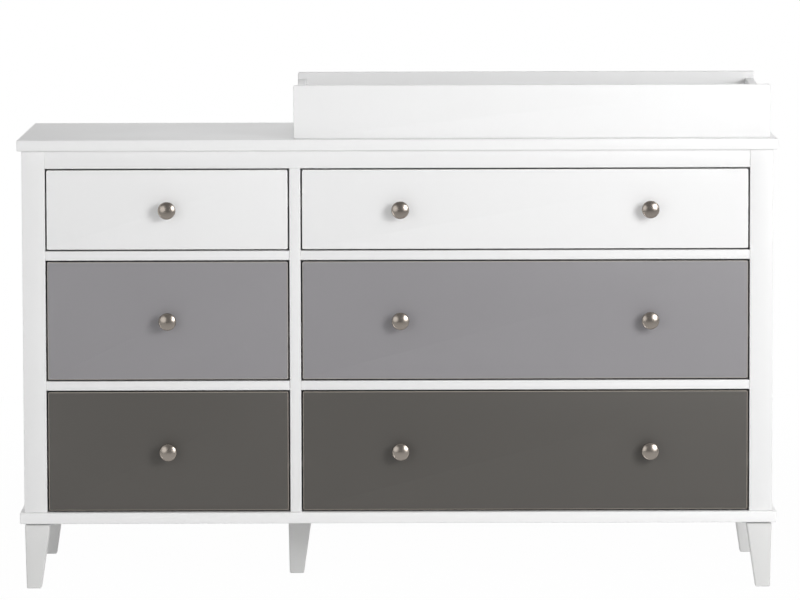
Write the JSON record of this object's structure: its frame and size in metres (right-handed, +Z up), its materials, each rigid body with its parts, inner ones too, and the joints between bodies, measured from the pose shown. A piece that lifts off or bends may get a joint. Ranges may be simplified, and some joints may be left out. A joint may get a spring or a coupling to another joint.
{
  "type": "changing dresser",
  "caption": "Long low dresser for a nursery, with drawers in two bays on roller slides, tapered legs and an open changing tray on its top.",
  "frame": {"origin": "on the floor, in the middle of the whole length and depth, knobs and rear ties included", "axes": "+X along the length, to the right seen from the front; +Y to the back; +Z up"},
  "size_m": [1.359, 0.5184, 0.904],
  "materials": {
    "white_paint": "satin white paint on MDF",
    "leg_paint": "satin white paint on solid wood",
    "mid_grey_paint": "satin mid-grey paint on MDF",
    "dark_grey_paint": "satin dark warm-grey paint on MDF",
    "drawer_board": "white foil on particle board",
    "hardboard": "white-faced hardboard",
    "slide_steel": "white epoxy coat on rolled steel",
    "roller_nylon": "natural white nylon",
    "plate_steel": "zinc plated",
    "brushed_nickel": "satin nickel plate"
  },
  "bodies": {
    "carcass": {"top_board": "white_paint", "bottom_board": "white_paint", "side_panel_left": "white_paint", "side_panel_right": "white_paint", "divider_panel": "white_paint", "back_panel": "hardboard", "post_left": "white_paint", "post_right": "white_paint", "centre_stile": "white_paint", "top_rail": "white_paint", "drawer_rails": "white_paint", "leg_front_left": "leg_paint", "leg_front_right": "leg_paint", "leg_back_left": "leg_paint", "leg_back_right": "leg_paint", "leg_centre": "leg_paint", "leg_plates": "plate_steel", "slide_channels": "slide_steel", "slide_rollers": "roller_nylon", "slide_packers": "drawer_board", "tray_front": "white_paint", "tray_back": "white_paint", "tray_ends": "white_paint", "tray_ties": "plate_steel"},
    "drawer_left_upper": {"drawer_left_upper_front": "white_paint", "drawer_left_upper_sides": "drawer_board", "drawer_left_upper_back": "drawer_board", "drawer_left_upper_bottom": "hardboard", "drawer_left_upper_runners": "slide_steel", "drawer_left_upper_knob": "brushed_nickel"},
    "drawer_left_middle": {"drawer_left_middle_front": "mid_grey_paint", "drawer_left_middle_sides": "drawer_board", "drawer_left_middle_back": "drawer_board", "drawer_left_middle_bottom": "hardboard", "drawer_left_middle_runners": "slide_steel", "drawer_left_middle_knob": "brushed_nickel"},
    "drawer_left_lower": {"drawer_left_lower_front": "dark_grey_paint", "drawer_left_lower_sides": "drawer_board", "drawer_left_lower_back": "drawer_board", "drawer_left_lower_bottom": "hardboard", "drawer_left_lower_runners": "slide_steel", "drawer_left_lower_knob": "brushed_nickel"},
    "drawer_right_upper": {"drawer_right_upper_front": "white_paint", "drawer_right_upper_sides": "drawer_board", "drawer_right_upper_back": "drawer_board", "drawer_right_upper_bottom": "hardboard", "drawer_right_upper_runners": "slide_steel", "drawer_right_upper_knobs": "brushed_nickel"},
    "drawer_right_middle": {"drawer_right_middle_front": "mid_grey_paint", "drawer_right_middle_sides": "drawer_board", "drawer_right_middle_back": "drawer_board", "drawer_right_middle_bottom": "hardboard", "drawer_right_middle_runners": "slide_steel", "drawer_right_middle_knobs": "brushed_nickel"},
    "drawer_right_lower": {"drawer_right_lower_front": "dark_grey_paint", "drawer_right_lower_sides": "drawer_board", "drawer_right_lower_back": "drawer_board", "drawer_right_lower_bottom": "hardboard", "drawer_right_lower_runners": "slide_steel", "drawer_right_lower_knobs": "brushed_nickel"}
  },
  "joints": [
    {"name": "drawer_left_upper_slide", "type": "slide", "parent": "carcass", "child": "drawer_left_upper", "axis": [0, -1, 0], "range_m": [0, 0.3]},
    {"name": "drawer_left_middle_slide", "type": "slide", "parent": "carcass", "child": "drawer_left_middle", "axis": [0, -1, 0], "range_m": [0, 0.3]},
    {"name": "drawer_left_lower_slide", "type": "slide", "parent": "carcass", "child": "drawer_left_lower", "axis": [0, -1, 0], "range_m": [0, 0.3]},
    {"name": "drawer_right_upper_slide", "type": "slide", "parent": "carcass", "child": "drawer_right_upper", "axis": [0, -1, 0], "range_m": [0, 0.3]},
    {"name": "drawer_right_middle_slide", "type": "slide", "parent": "carcass", "child": "drawer_right_middle", "axis": [0, -1, 0], "range_m": [0, 0.3]},
    {"name": "drawer_right_lower_slide", "type": "slide", "parent": "carcass", "child": "drawer_right_lower", "axis": [0, -1, 0], "range_m": [0, 0.3]}
  ]
}
